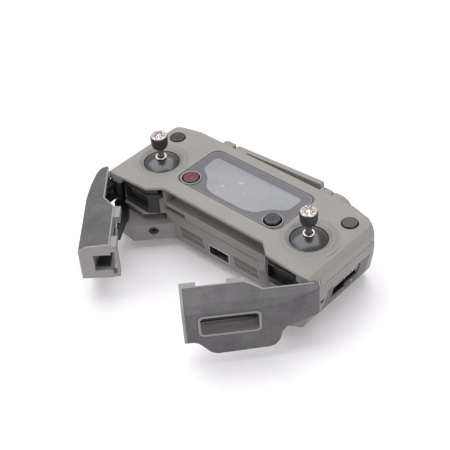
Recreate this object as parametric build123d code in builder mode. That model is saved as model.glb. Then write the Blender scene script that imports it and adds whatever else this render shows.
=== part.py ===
from build123d import *
import os
from math import cos, radians, sin

# A folding two-stick radio controller. Millimetres, +Z up, +X to the pilot's right, +Y away
# from the pilot. The origin is on the flat base, under the middle of the line between the sticks.

# ---- driving dimensions ----------------------------------------------------------------------
TOP_Z = 40.0            # flat top face above the base
PARTING_Z = 31.0        # joint line between the top and bottom shells
SEAM_HEIGHT = 0.3       # groove along the joint line
SEAM_DEPTH = 0.4
HALF_WIDTH = 73.0       # at the joint line
BACK_Y = 34.5           # rear wall
FRONT_Y = -15.0         # front wall between the grip blocks
WALL = 2.0              # shell wall
LIP = 1.6               # thin front lip of the top shell
SKIN = 2.2              # top face behind the lip
CHANNEL_CLEAR_Y = -7.8  # back of the space left for the front channel
STICK_X = 52.0          # stick centres, left and right
GIMBAL_Z = 27.4         # where the stick axes cross
DOME_R = 15.8           # outside of the dome round each stick
DOME_SKIN = 1.1
OPENING_GAP = 0.35      # between a dome and the shell round it
PIVOT_X = 68.0          # clamp hinge pins
PIVOT_Y = -20.0
PIN_R = 1.5
PIN_SEAT = 2.8          # depth of the pins in the corners
RUNNING_GAP = 0.05      # radial clearance of a pin in its bore
CLAMP_OPEN = 48.0       # degrees the clamps stand open from folded
CLAMP_LENGTH = 63.2     # hinge pin to the clamp's end face
CLAMP_DEPTH = 15.0      # hinge pin to the clamp's outer face
CLAMP_INNER = -1.5      # inner edge of the clamp's jaws
ANTENNA_X = 32.5        # antenna hinge pins
ANTENNA_Z = 31.1
ANTENNA_BACK_Y = 43.4   # rear face of the antennas
ANTENNA_R = 2.9         # half the antennas' thickness
ANTENNA_PIN_R = 1.0
BOARD_Z = 29.0          # underside of the main board
COVER_SKIN = 1.3        # rubber on the clamp
LINER = 1.3             # hard liner under the rubber
GROOVE = (22.0, 32.3)   # phone groove, low and high
GROOVE_DEPTH = 7.7      # floor of the groove from the hinge line
BUTTON_GAP = 0.25       # round a button in its hole
PRESS_GAP = 0.9         # between a button's stem and its switch

os.makedirs("parts", exist_ok=True)


def write(builder_part, name):
    """Name a finished piece and write its STEP file."""
    builder_part.label = name
    export_step(builder_part, "parts/" + name + ".step")


def symmetric(points):
    """Close an outline given from the middle of one side to the middle of the other."""
    return points + [(-x, y) for x, y in reversed(points) if x > 0]


def face(points, corner=0.0):
    """Fill the current sketch with a polygon whose corners are rounded."""
    with BuildLine() as edge:
        Polyline(*points, close=True)
    outline = make_face(edge.edges())
    if corner:
        fillet(outline.vertices(), corner)


def both_sides(right_part, name):
    """Write a right-hand piece and its mirror image on the left."""
    write(right_part, "right_" + name)
    write(mirror(right_part, about=Plane.YZ), "left_" + name)


# ---- outlines ----------------------------------------------------------------------------------
CORNER_REACH = 4.2      # how far the body's front corners stand out from the hinge pins
SIDE_Y = -14.0
back_outline = [(HALF_WIDTH, -8), (HALF_WIDTH, 27), (66, 31.5), (54, BACK_Y), (0, BACK_Y)]
pin_corner = [
    (PIVOT_X - 1, PIVOT_Y - CORNER_REACH + 0.4),
    (PIVOT_X + 2.7, PIVOT_Y - 2.9),
    (PIVOT_X + CORNER_REACH, PIVOT_Y + 1),
]
top_outline = [(0, -16), (35, -16), (42.5, -22.3), (64, -23.8)] + pin_corner + back_outline
side_profile = [
    (HALF_WIDTH, TOP_Z), (HALF_WIDTH, 27), (72.4, 22), (70.8, 16), (69, 9), (66.2, 4), (61.6, 0),
]
length_profile = [
    (-34, 6), (FRONT_Y, 6), (-7, 0), (29, 0), (37, 4), (43, 16), (45, 22), (45, TOP_Z), (-34, TOP_Z),
]
# rounding from the top face down to the sides
shoulder_curve = [
    (67.0, TOP_Z), (69.6, TOP_Z - 0.7), (71.4, TOP_Z - 2.2), (72.6, TOP_Z - 4.6), (HALF_WIDTH, TOP_Z - 7.6),
]
EAR_LOW_Z = 34.0        # underside of the corners that hold the clamp pins


# ---- top shell ---------------------------------------------------------------------------------
WINDOW_HALF = 36.0
WINDOW_FRONT_Y = -6.6
WINDOW_BACK_Y = 27.8
WINDOW_THICK = 1.2
WINDOW_LEDGE = 1.6
WINDOW_CORNER = 5.0
SIDE_BUTTON = (61.0, 22.0)
SIDE_BUTTON_R = 4.4
FACE_BUTTON = (28.9, -0.8)
FACE_BUTTON_R = 4.6
RING_R = 5.7
RING_SKIN = 0.6


def window_rectangle(inset):
    """Rounded outline of the display window, drawn in from its edge."""
    middle = (WINDOW_FRONT_Y + WINDOW_BACK_Y) / 2
    with Locations((0, middle)):
        RectangleRounded(
            2 * (WINDOW_HALF - inset),
            WINDOW_BACK_Y - WINDOW_FRONT_Y - 2 * inset,
            WINDOW_CORNER - inset,
        )


# region outside the sloping shoulders of the top shell
shoulder_region = shoulder_curve + [
    (HALF_WIDTH + 5, shoulder_curve[-1][1]), (HALF_WIDTH + 5, TOP_Z + 5), (shoulder_curve[0][0], TOP_Z + 5),
]
with BuildSketch(Plane.XZ) as shoulders:
    for side in (1, -1):
        face([(side * x, z) for x, z in shoulder_region])


# section of the raised ring round each stick: distance from the stick's axis, height over the top face
ring_section = [
    (8.5, -1.2), (8.5, -0.4), (10.3, -0.1), (12.3, 1.3), (12.7, 1.45), (13.2, 1.35), (14.6, 0.5), (16.2, 0),
    (16.2, -1.2),
]
with BuildPart() as top_shell:
    with BuildSketch(Plane.XY.offset(PARTING_Z)):
        face(symmetric(top_outline), 1.2)
    extrude(amount=TOP_Z - PARTING_Z)
    fillet(top_shell.faces().sort_by(Axis.Z)[-1].edges(), 0.8)
    extrude(shoulders.sketch, amount=100, both=True, mode=Mode.SUBTRACT)
    # groove along the parting line
    for side in (1, -1):
        with Locations((side * (HALF_WIDTH + 5 - SEAM_DEPTH), 8, PARTING_Z + SEAM_HEIGHT / 2)):
            Box(10, 64, SEAM_HEIGHT, mode=Mode.SUBTRACT)
    # hollow under the top skin, inside the side and rear walls
    with BuildSketch(Plane.XY.offset(PARTING_Z)):
        face(symmetric([
            (0, CHANNEL_CLEAR_Y), (61, CHANNEL_CLEAR_Y), (66.3, -13), (66.3, 28.8), (53.6, 32.5), (0, 32.5),
        ]))
    extrude(amount=TOP_Z - SKIN - PARTING_Z, mode=Mode.SUBTRACT)
    with BuildSketch(Plane.XY.offset(PARTING_Z)):
        face(symmetric([
            (0, FRONT_Y - 0.4), (62.6, FRONT_Y - 0.4), (62.6, CHANNEL_CLEAR_Y), (0, CHANNEL_CLEAR_Y),
        ]))
    extrude(amount=TOP_Z - LIP - PARTING_Z, mode=Mode.SUBTRACT)
    # only the lip stands out past the front wall
    with BuildSketch(Plane.XY.offset(PARTING_Z)):
        face([(-80, -30), (80, -30), (80, -16.2), (62.6, -16.2), (62.6, FRONT_Y - 0.4),
              (-62.6, FRONT_Y - 0.4), (-62.6, -16.2), (-80, -16.2)])
    extrude(amount=TOP_Z - LIP - PARTING_Z, mode=Mode.SUBTRACT)
    # ears that hold the top of the clamp pins
    for side in (1, -1):
        with BuildSketch(Plane.XY.offset(EAR_LOW_Z)):
            face([(side * x, y) for x, y in [(62.4, -16)] + [(62.4, -23)] + pin_corner + [(72.2, -16)]])
        extrude(amount=TOP_Z - EAR_LOW_Z - 1)
    extrude(shoulders.sketch, amount=100, both=True, mode=Mode.SUBTRACT)
    # raised rings and ball openings for the sticks
    for side in (1, -1):
        with BuildSketch(Plane.XZ.offset(0)) as ring_profile:
            with BuildLine():
                Polyline(*[(side * STICK_X + r, TOP_Z + rise) for r, rise in ring_section], close=True)
            make_face()
        revolve(axis=Axis((side * STICK_X, 0, 0), (0, 0, 1)))
    with Locations((STICK_X, 0, GIMBAL_Z), (-STICK_X, 0, GIMBAL_Z)):
        Sphere(DOME_R + OPENING_GAP, mode=Mode.SUBTRACT)
    # display window: recess and opening
    with BuildSketch(Plane.XY.offset(TOP_Z)):
        window_rectangle(-0.1)
    extrude(amount=-WINDOW_THICK, mode=Mode.SUBTRACT)
    with BuildSketch(Plane.XY.offset(TOP_Z)):
        window_rectangle(WINDOW_LEDGE)
        with Locations(FACE_BUTTON, (-FACE_BUTTON[0], FACE_BUTTON[1])):
            Circle(RING_R - RING_SKIN / 2)
    extrude(amount=-10, mode=Mode.SUBTRACT)
    # antenna hinge pin holes in the rear wall
    for side in (1, -1):
        with Locations(Location((side * ANTENNA_X, BACK_Y, ANTENNA_Z), (90, 0, 0))):
            Cylinder(ANTENNA_PIN_R, 12, mode=Mode.SUBTRACT)
    # home and power button holes
    with Locations((SIDE_BUTTON[0], SIDE_BUTTON[1], TOP_Z), (-SIDE_BUTTON[0], SIDE_BUTTON[1], TOP_Z)):
        Cylinder(SIDE_BUTTON_R + BUTTON_GAP, 20, mode=Mode.SUBTRACT)
    # hinge pin seats
    with Locations((PIVOT_X, PIVOT_Y, EAR_LOW_Z), (-PIVOT_X, PIVOT_Y, EAR_LOW_Z)):
        Cylinder(PIN_R, 2 * PIN_SEAT, mode=Mode.SUBTRACT)
write(top_shell.part, "top_shell")


# ---- bottom shell --------------------------------------------------------------------------------
BLOCK_TOP_Z = 16.6      # grip blocks beside the front wall
SHELF_LOW_Z = 20.4      # ledge under the stick stores
SHELF_HIGH_Z = 22.0
GAP_BACK_Y = -12.6      # back of the gap that the clamp's blade folds into
STORE_BACK_Y = -17.5
LEDGE_HALF = 34.0       # battery bulge at the rear
block_plan = [(0, FRONT_Y), (31, FRONT_Y), (47, -31.5), (57, -30.6), (66, -25.2)]
block_plan += pin_corner[1:] + back_outline
gap_plan = [(0, FRONT_Y), (36, FRONT_Y), (38, GAP_BACK_Y), (72.2, GAP_BACK_Y)] + back_outline
shelf_plan = [(0, FRONT_Y), (37.5, FRONT_Y), (46, -23.4), (61.5, -22.2), (61.5, -16.2), (72.2, -16.2)]
shelf_plan += back_outline
upper_plan = [
    (0, FRONT_Y), (37.8, FRONT_Y), (37.8, STORE_BACK_Y), (62.2, STORE_BACK_Y), (62.2, -16.2), (72.2, -16.2),
]
upper_plan += back_outline
levels = [
    (0, BLOCK_TOP_Z, block_plan),
    (BLOCK_TOP_Z, SHELF_LOW_Z, gap_plan),
    (SHELF_LOW_Z, SHELF_HIGH_Z, shelf_plan),
    (SHELF_HIGH_Z, PARTING_Z, upper_plan),
]


def body_block(inset=0.0):
    """Solid form of the whole lower body; an inset draws the sides and base in."""
    with BuildPart() as block:
        for low, high, plan in levels:
            with BuildSketch(Plane.XY.offset(low)):
                face(symmetric(plan))
            extrude(amount=high - low)
        with BuildSketch(Plane.XY.offset(0)):
            face(symmetric([(0, BACK_Y - 1), (LEDGE_HALF, BACK_Y - 1), (LEDGE_HALF, 44), (0, 44)]))
        extrude(amount=26)
        with BuildSketch(Plane.XZ):
            sloping_side = [(x - inset, max(z, inset)) for x, z in side_profile]
            face(symmetric([(0, TOP_Z)] + sloping_side + [(0, inset)]))
        extrude(amount=100, both=True, mode=Mode.INTERSECT)
        with BuildSketch(Plane.YZ):
            face(length_profile)
        extrude(amount=100, both=True, mode=Mode.INTERSECT)
    return block.part


lower_body = body_block()
lower_body_inset = body_block(0.9)

SWITCH_Y = 5.0          # centre of the mode switch slot
SWITCH_Z = 17.2
SWITCH_SLOT = (20.4, 5.8)
DIAL_X = 46.0
DIAL_Y = 29.6
DIAL_Z = 21.8
DIAL_AXLE = 10.8
DIAL_R = 7.6
DIAL_THICK = 4.6
REAR_BUTTON = (59.6, 23.0)      # record and shutter, on the rear wall: x, z
REAR_BUTTON_R = 4.0
CUSTOM_BUTTON = (49.0, 10.5)    # custom buttons, lower on the rear wall: x, z
CUSTOM_BUTTON_R = 3.2
USB_X = 2.2
USB_Z = 11.8
USB_SIZE = (15.4, 7.4)
PANEL_LOW_HALF = 31.0
PANEL_HIGH_HALF = 37.6
PANEL_STEP_Z = 23.0
PANEL_LOW_Z = 7.5
block_screw = (39.0, -23.25, 12.0)
base_screws = [(56, 22), (-56, 22), (56, -4), (-56, -4)]
GRIP_LOW_Z = 3.0
GRIP_HIGH_Z = 24.5
GRIP_FRONT_Y = -11.0
GRIP_BACK_Y = 24.5

with BuildPart() as bottom_shell:
    add(lower_body)
    # hollow for the mechanism
    with BuildSketch(Plane.XY.offset(WALL)):
        face(symmetric([(0, -6), (60, -6), (60, 28.2), (50, 31), (0, 31)]))
    extrude(amount=10, mode=Mode.SUBTRACT)
    with BuildSketch(Plane.XY.offset(8)):
        face(symmetric([
            (0, FRONT_Y + 1.9), (36, FRONT_Y + 1.9), (38.6, GAP_BACK_Y + 1.6), (66.4, GAP_BACK_Y + 1.6),
            (66.4, 28.2), (53.6, 32.4), (0, 32.4),
        ]))
    extrude(amount=40, mode=Mode.SUBTRACT)
    # posts that carry the main board
    with Locations((33, -4, 15.5), (-33, -4, 15.5), (33, 28, 15.5), (-33, 28, 15.5)):
        Cylinder(1.6, BOARD_Z - WALL)
    with BuildSketch(Plane.XY.offset(25)):
        face(symmetric([(0, 0), (71, 0), (71, 26), (65, 29.6), (60, 30), (0, 30)]))
    extrude(amount=40, mode=Mode.SUBTRACT)
    # room for the stick domes to swing
    with Locations((STICK_X, 0, GIMBAL_Z + 8), (-STICK_X, 0, GIMBAL_Z + 8)):
        Cylinder(DOME_R + 0.6, 18, mode=Mode.SUBTRACT)
    # battery bay reaches into the rear bulge
    with BuildSketch(Plane.XY.offset(5)):
        face(symmetric([(0, 20), (LEDGE_HALF - 2, 20), (LEDGE_HALF - 2, 35.6), (0, 35.6)]))
    extrude(amount=12, mode=Mode.SUBTRACT)
    # opening for the front panel
    with BuildSketch(Plane.XZ.offset(-FRONT_Y + 5)):
        face([(-PANEL_LOW_HALF, PANEL_LOW_Z), (PANEL_LOW_HALF, PANEL_LOW_Z), (PANEL_LOW_HALF, PANEL_STEP_Z),
              (PANEL_HIGH_HALF, PANEL_STEP_Z), (PANEL_HIGH_HALF, 45), (-PANEL_HIGH_HALF, 45),
              (-PANEL_HIGH_HALF, PANEL_STEP_Z), (-PANEL_LOW_HALF, PANEL_STEP_Z)])
    extrude(amount=-7, mode=Mode.SUBTRACT)
    for side in (1, -1):
        # hinge pin seat
        with Locations((side * PIVOT_X, PIVOT_Y, BLOCK_TOP_Z)):
            Cylinder(PIN_R, 12, mode=Mode.SUBTRACT)
        # dial slot through the rear wall
        with Locations((side * DIAL_X, DIAL_Y, DIAL_Z)):
            Cylinder(DIAL_R + 0.5, DIAL_THICK + 1.0, mode=Mode.SUBTRACT)
        # brackets above and below the dial, bored for its axle
        for rise in (-4.4, 4.4):
            with Locations((side * DIAL_X, DIAL_Y + 0.8, DIAL_Z + rise)):
                Box(7, 5.6, 2.4)
        with Locations((side * DIAL_X, DIAL_Y, DIAL_Z)):
            Cylinder(PIN_R, DIAL_AXLE, mode=Mode.SUBTRACT)
        # rear button holes
        with Locations(Location((side * REAR_BUTTON[0], 32, REAR_BUTTON[1]), (90, 0, 0))):
            Cylinder(REAR_BUTTON_R + BUTTON_GAP, 14, mode=Mode.SUBTRACT)
        with Locations(Location((side * CUSTOM_BUTTON[0], 33, CUSTOM_BUTTON[1]), (90, 0, 0))):
            Cylinder(CUSTOM_BUTTON_R + BUTTON_GAP, 12, mode=Mode.SUBTRACT)
        # antenna hinge pin hole
        with Locations(Location((side * ANTENNA_X, BACK_Y, ANTENNA_Z), (90, 0, 0))):
            Cylinder(ANTENNA_PIN_R, 12, mode=Mode.SUBTRACT)
        # room inside for the custom key's collar
        with Locations(Location((side * CUSTOM_BUTTON[0], 28, CUSTOM_BUTTON[1]), (90, 0, 0))):
            Cylinder(CUSTOM_BUTTON_R + 1.6, 7.6, mode=Mode.SUBTRACT)
        # recessed screw in the slanted face of the grip block
        with Locations(Plane((side * block_screw[0], block_screw[1], block_screw[2]), z_dir=(-side, -1, 0))):
            Cylinder(2.7, 6, mode=Mode.SUBTRACT)
    # seats for the base screws
    for x, y in base_screws:
        with Locations((x, y, 0)):
            Cylinder(2.4, 3.2, mode=Mode.SUBTRACT)
    # recesses for the rubber grips
    with BuildSketch(Plane.XZ.offset(-GRIP_BACK_Y)):
        for side in (1, -1):
            with Locations((side * 72, (GRIP_LOW_Z + GRIP_HIGH_Z) / 2)):
                Rectangle(24, GRIP_HIGH_Z - GRIP_LOW_Z)
    grip_region = extrude(amount=GRIP_BACK_Y - GRIP_FRONT_Y, mode=Mode.PRIVATE)
    add(grip_region & (lower_body - lower_body_inset), mode=Mode.SUBTRACT)
    # slot for the mode switch, right-hand side
    with BuildSketch(Plane.YZ.offset(64)):
        with Locations((SWITCH_Y, SWITCH_Z)):
            RectangleRounded(SWITCH_SLOT[0], SWITCH_SLOT[1], 2.4)
    extrude(amount=12, mode=Mode.SUBTRACT)
    # slot for the charging socket, left-hand side
    with Locations((-70, 9, 17.5)):
        Box(12, 9.0, 4.2, mode=Mode.SUBTRACT)
write(bottom_shell.part, "bottom_shell")

with BuildPart() as right_grip:
    add(grip_region & (lower_body - lower_body_inset))
    with BuildSketch(Plane.YZ):
        Rectangle(200, 200)
    extrude(amount=-100, mode=Mode.SUBTRACT)
    with BuildSketch(Plane.YZ.offset(60)):
        with Locations((SWITCH_Y, SWITCH_Z)):
            RectangleRounded(SWITCH_SLOT[0] + 1.6, SWITCH_SLOT[1] + 1.6, 3.0)
        with Locations((SWITCH_Y, GRIP_HIGH_Z)):
            Rectangle(SWITCH_SLOT[0] + 1.6, 14)
    extrude(amount=20, mode=Mode.SUBTRACT)
write(right_grip.part, "right_grip")

with BuildPart() as left_grip:
    add(grip_region & (lower_body - lower_body_inset))
    with BuildSketch(Plane.YZ):
        Rectangle(200, 200)
    extrude(amount=100, mode=Mode.SUBTRACT)
    with Locations((-70, 9, 17.5)):
        Box(20, 11.0, 6.2, mode=Mode.SUBTRACT)
write(left_grip.part, "left_grip")


# ---- front panel with vents, socket opening and the channel for the clamp tabs ----------------
VENT_COLUMNS = 13
VENT_ROWS = 2
VENT_PITCH = 1.3
VENT_ROW_PITCH = 3.6
VENT_SLIT = (0.55, 3.3)
VENT_LEAN = 14          # degrees
VENT_TOP_Z = 15.2       # middle of the upper row
vent_starts = [-25.6, 13.4]
CHANNEL_LOW_Z = 29.3
CHANNEL_BACK_Y = -9.6
with BuildPart() as front_panel:
    with BuildSketch(Plane.XZ.offset(-FRONT_Y)):
        face([(-PANEL_LOW_HALF + 0.1, PANEL_LOW_Z + 0.1), (PANEL_LOW_HALF - 0.1, PANEL_LOW_Z + 0.1),
              (PANEL_LOW_HALF - 0.1, PANEL_STEP_Z + 0.1), (PANEL_HIGH_HALF - 0.1, PANEL_STEP_Z + 0.1),
              (PANEL_HIGH_HALF - 0.1, TOP_Z - LIP - 0.1), (-PANEL_HIGH_HALF + 0.1, TOP_Z - LIP - 0.1),
              (-PANEL_HIGH_HALF + 0.1, PANEL_STEP_Z + 0.1), (-PANEL_LOW_HALF + 0.1, PANEL_STEP_Z + 0.1)])
    extrude(amount=-1.7)
    # channel: trough behind the panel
    with Locations((0, CHANNEL_BACK_Y + 1.6, (CHANNEL_LOW_Z + TOP_Z - LIP) / 2 - 0.75)):
        Box(72, 10.8, TOP_Z - LIP - CHANNEL_LOW_Z + 1.3)
    with BuildSketch(Plane.XY.offset(CHANNEL_LOW_Z)):
        face([(-35.3, -20), (35.3, -20), (35.3, CHANNEL_BACK_Y), (-35.3, CHANNEL_BACK_Y)])
    extrude(amount=20, mode=Mode.SUBTRACT)
    with BuildSketch(Plane.XY.offset(0)):
        face([(-40, CHANNEL_BACK_Y + 1.4), (40, CHANNEL_BACK_Y + 1.4), (40, 0), (-40, 0)])
    extrude(amount=45, mode=Mode.SUBTRACT)
    # ridge that runs along under the channel
    with Locations((0, FRONT_Y - 0.15, 22.9)):
        Box(2 * PANEL_LOW_HALF - 3, 0.5, 0.7)
    # short slot on the left
    with Locations((-29, FRONT_Y, 25.2)):
        Box(14.5, 6, 2.6, mode=Mode.SUBTRACT)
    # socket opening in a shallow frame
    with Locations((USB_X, FRONT_Y, USB_Z)):
        Box(USB_SIZE[0], 8, USB_SIZE[1], mode=Mode.SUBTRACT)
    # slanted ventilation slots
    for start in vent_starts:
        for column in range(VENT_COLUMNS):
            for row in range(VENT_ROWS):
                x = start + column * VENT_PITCH + row * VENT_ROW_PITCH * sin(radians(VENT_LEAN))
                z = VENT_TOP_Z - row * VENT_ROW_PITCH
                with Locations(Location((x, FRONT_Y, z), (0, -VENT_LEAN, 0))):
                    Box(VENT_SLIT[0], 6, VENT_SLIT[1], mode=Mode.SUBTRACT)
write(front_panel.part, "front_panel")


# ---- rubber stick stores under the front lip -----------------------------------------------------
with BuildPart() as stick_store:
    with BuildSketch(Plane.XY.offset(SHELF_HIGH_Z)):
        face([
            (38.0, STORE_BACK_Y - 0.1), (38.0, -17.9), (43.4, -21.9), (61.6, -21.2),
            (61.6, STORE_BACK_Y - 0.1),
        ])
    extrude(amount=TOP_Z - LIP - SHELF_HIGH_Z - 0.1)
    with Locations((51.6, -21.6, 29.2)):
        Box(17.4, 6.0, 8.6, mode=Mode.SUBTRACT)
    with BuildSketch(Plane.XY.offset(34.6)):
        face([(36, -30), (66, -30), (66, -20.4), (43.4, -21.0), (38, -17.2), (36, -17.2)])
    extrude(amount=1.4, mode=Mode.SUBTRACT)
both_sides(stick_store.part, "stick_store")


# ---- display -------------------------------------------------------------------------------------
with BuildPart() as display_window:
    with BuildSketch(Plane.XY.offset(TOP_Z - WINDOW_THICK)):
        window_rectangle(0)
        with Locations(FACE_BUTTON, (-FACE_BUTTON[0], FACE_BUTTON[1])):
            Circle(RING_R + 0.05, mode=Mode.SUBTRACT)
    extrude(amount=WINDOW_THICK - 0.1)
write(display_window.part, "display_window")

with BuildPart() as button_rings:
    with BuildSketch(Plane.XY.offset(TOP_Z - WINDOW_THICK)):
        with Locations(FACE_BUTTON, (-FACE_BUTTON[0], FACE_BUTTON[1])):
            Circle(RING_R)
            Circle(RING_R - RING_SKIN, mode=Mode.SUBTRACT)
    extrude(amount=WINDOW_THICK + 0.5)
write(button_rings.part, "button_rings")

with BuildPart() as lcd_panel:
    with BuildSketch(Plane.XY.offset(36.4)):
        face(symmetric([
            (0, -4), (18.5, -4), (22.4, 5.2), (30.6, 7.4), (32.6, 9.5), (32.6, 24), (0, 24),
        ]), 1.5)
    extrude(amount=2.2)
write(lcd_panel.part, "lcd_panel")


# ---- boards, battery and sockets -----------------------------------------------------------------
BOARD_THICK = 1.2
with BuildPart() as main_board:
    with Locations((0, 11.6, BOARD_Z + BOARD_THICK / 2)):
        Box(69, 36.6, BOARD_THICK)
    with Locations((0, 16, BOARD_Z + BOARD_THICK + 1.2)):
        Box(34, 16, 2.4)
    # posts that carry the display
    with Locations((30, 20, 33.3), (-30, 20, 33.3), (30, 10, 33.3), (-30, 10, 33.3)):
        Cylinder(1.2, 6.2)
write(main_board.part, "main_board")

with BuildPart() as radio_board:
    with Locations((0, 15.6, 20.6)):
        Box(62, 30, 1.2)
    with Locations((-14, 16, 22.6), (14, 16, 22.6)):
        Box(20, 18, 2.8)
write(radio_board.part, "radio_board")

with BuildPart() as button_boards:
    for side in (1, -1):
        with Locations((side * 61.4, 22.6, 28.6)):
            Box(13.6, 8.6, 1.2)
write(button_boards.part, "button_boards")

with BuildPart() as battery:
    with Locations((0, 18.4, 10.9)):
        Box(60, 33, 11.6)
    fillet(battery.edges(), 1.0)
write(battery.part, "battery")

with BuildPart() as usb_socket:
    with Locations((USB_X, FRONT_Y + 7.6, USB_Z)):
        Box(USB_SIZE[0] - 0.3, 15.0, USB_SIZE[1] - 0.3)
        Box(USB_SIZE[0] - 1.7, 15.2, USB_SIZE[1] - 1.7, mode=Mode.SUBTRACT)
    with Locations((USB_X, FRONT_Y + 14.5, USB_Z)):
        Box(USB_SIZE[0] - 0.3, 1.2, USB_SIZE[1] - 0.3)
    with Locations((USB_X, FRONT_Y + 9.9, USB_Z + 1.65)):
        Box(10.6, 9.4, 1.6)
write(usb_socket.part, "usb_socket")

with BuildPart() as charge_socket:
    with Locations((-68.8, 9, 17.5)):
        Box(6.0, 8.6, 3.8)
    with Locations((-71.4, 9, 17.5)):
        Box(7.0, 7.4, 2.6, mode=Mode.SUBTRACT)
write(charge_socket.part, "charge_socket")


# ---- stick gimbals -------------------------------------------------------------------------------
RING_OUTER_R = 10.4
RING_INNER_R = 8.3
TRUNNION_R = 1.2
with BuildPart() as gimbal_base:
    with Locations((STICK_X, 0, 13.4)):
        Box(27, 18, 2)
    with Locations((STICK_X, 0, 7.2)):
        Cylinder(5, 10.4)
    with Locations((STICK_X + 12.1, 0, 21.6), (STICK_X - 12.1, 0, 21.6)):
        Box(1.8, 7, 16.4)
    with Locations(Location((STICK_X, 0, GIMBAL_Z), (0, 90, 0))):
        Cylinder(TRUNNION_R + RUNNING_GAP, 40, mode=Mode.SUBTRACT)
both_sides(gimbal_base.part, "gimbal_base")

with BuildPart() as gimbal_ring:
    with Locations((STICK_X, 0, GIMBAL_Z)):
        Cylinder(RING_OUTER_R, 6)
        Cylinder(RING_INNER_R, 6, mode=Mode.SUBTRACT)
    for side in (1, -1):
        with Locations(Location((STICK_X + side * 11.4, 0, GIMBAL_Z), (0, 90, 0))):
            Cylinder(TRUNNION_R, 3.2)
    with Locations(Location((STICK_X, 0, GIMBAL_Z), (90, 0, 0))):
        Cylinder(TRUNNION_R + RUNNING_GAP, 40, mode=Mode.SUBTRACT)
both_sides(gimbal_ring.part, "gimbal_ring")

STEM_R = 1.7
COLLAR_Z = 43.5
BARREL_LOW_Z = 49.6
BARREL_HIGH_Z = 57.4
BARREL_R = 4.9
CROWN_Z = 59.4
with BuildPart() as stick_stem:
    with Locations(Location((STICK_X, 0, GIMBAL_Z), (90, 0, 0))):
        Cylinder(4.2, 11)
        Cylinder(TRUNNION_R, 20)
    with Locations((STICK_X, 0, (GIMBAL_Z + BARREL_LOW_Z + 6) / 2)):
        Cylinder(STEM_R, BARREL_LOW_Z + 6 - GIMBAL_Z)
    with Locations((STICK_X, 0, BARREL_LOW_Z - 0.8)):
        Cone(STEM_R, 2.3, 1.6)
both_sides(stick_stem.part, "stick_stem")

with BuildPart() as stick_dome:
    with Locations((STICK_X, 0, GIMBAL_Z)):
        Sphere(DOME_R)
        Sphere(DOME_R - DOME_SKIN, mode=Mode.SUBTRACT)
    with Locations((STICK_X, 0, GIMBAL_Z - 20 + 7.0)):
        Box(60, 60, 40, mode=Mode.SUBTRACT)
    with Locations((STICK_X, 0, GIMBAL_Z + 10)):
        Cylinder(STEM_R + 0.01, 30, mode=Mode.SUBTRACT)
both_sides(stick_dome.part, "stick_dome")

with BuildPart() as stick_barrel:
    with BuildSketch(Plane.XZ):
        with BuildLine():
            Polyline(
                (STICK_X + STEM_R, BARREL_LOW_Z),
                (STICK_X + 2.9, BARREL_LOW_Z),
                (STICK_X + 4.3, BARREL_LOW_Z + 1.6),
                (STICK_X + BARREL_R, BARREL_LOW_Z + 5),
                (STICK_X + BARREL_R, BARREL_HIGH_Z - 0.4),
                (STICK_X + BARREL_R - 0.4, BARREL_HIGH_Z),
                (STICK_X + STEM_R, BARREL_HIGH_Z),
                close=True,
            )
        make_face()
    revolve(axis=Axis((STICK_X, 0, 0), (0, 0, 1)))
both_sides(stick_barrel.part, "stick_barrel")

CROWN_TEETH = 8
with BuildPart() as stick_metal:
    with BuildSketch(Plane.XZ):
        with BuildLine():
            Polyline(
                (STICK_X, BARREL_LOW_Z + 6),
                (STICK_X + STEM_R, BARREL_LOW_Z + 6),
                (STICK_X + STEM_R, BARREL_HIGH_Z),
                (STICK_X + 4.4, BARREL_HIGH_Z),
                (STICK_X + 4.4, BARREL_HIGH_Z + 0.8),
                (STICK_X + 3.5, CROWN_Z),
                (STICK_X + 2.5, CROWN_Z),
                (STICK_X + 1.6, CROWN_Z - 1.2),
                (STICK_X, CROWN_Z - 1.2),
                close=True,
            )
        make_face()
    revolve(axis=Axis((STICK_X, 0, 0), (0, 0, 1)))
    for tooth in range(CROWN_TEETH // 2):
        with Locations(Location((STICK_X, 0, CROWN_Z), (0, 0, tooth * 360 / CROWN_TEETH))):
            Box(12, 0.9, 2.2, mode=Mode.SUBTRACT)
    with Locations((STICK_X, 0, COLLAR_Z + 0.3)):
        Cylinder(3.3, 1.1)
        Cylinder(STEM_R, 1.1, mode=Mode.SUBTRACT)
both_sides(stick_metal.part, "stick_metal")


# ---- buttons on the top face ---------------------------------------------------------------------
def push_button(x, y, radius, low, high, flange, flange_low, flange_high):
    """Round key with a retaining flange under the skin."""
    with BuildPart() as key:
        with Locations((x, y, (low + high) / 2)):
            Cylinder(radius, high - low)
        fillet(key.edges().filter_by(GeomType.CIRCLE).sort_by(Axis.Z)[-1], 0.7)
        with Locations((x, y, (flange_low + flange_high) / 2)):
            Cylinder(flange, flange_high - flange_low)
    return key.part


SIDE_SWITCH_Z = 32.6
home_key = push_button(-SIDE_BUTTON[0], SIDE_BUTTON[1], SIDE_BUTTON_R, SIDE_SWITCH_Z + PRESS_GAP, TOP_Z + 0.9,
                       SIDE_BUTTON_R + 0.5, 36.0, 37.2)
write(home_key, "home_button")
power_key = push_button(SIDE_BUTTON[0], SIDE_BUTTON[1], SIDE_BUTTON_R, SIDE_SWITCH_Z + PRESS_GAP, TOP_Z + 0.9,
                        SIDE_BUTTON_R + 0.5, 36.0, 37.2)
write(power_key, "power_button")
FACE_SWITCH_Z = 33.4
pause_key = push_button(
    -FACE_BUTTON[0], FACE_BUTTON[1], FACE_BUTTON_R, FACE_SWITCH_Z + PRESS_GAP, TOP_Z + 0.9,
    FACE_BUTTON_R + 0.7, 36.0, 37.4,
)
write(pause_key, "pause_button")

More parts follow.
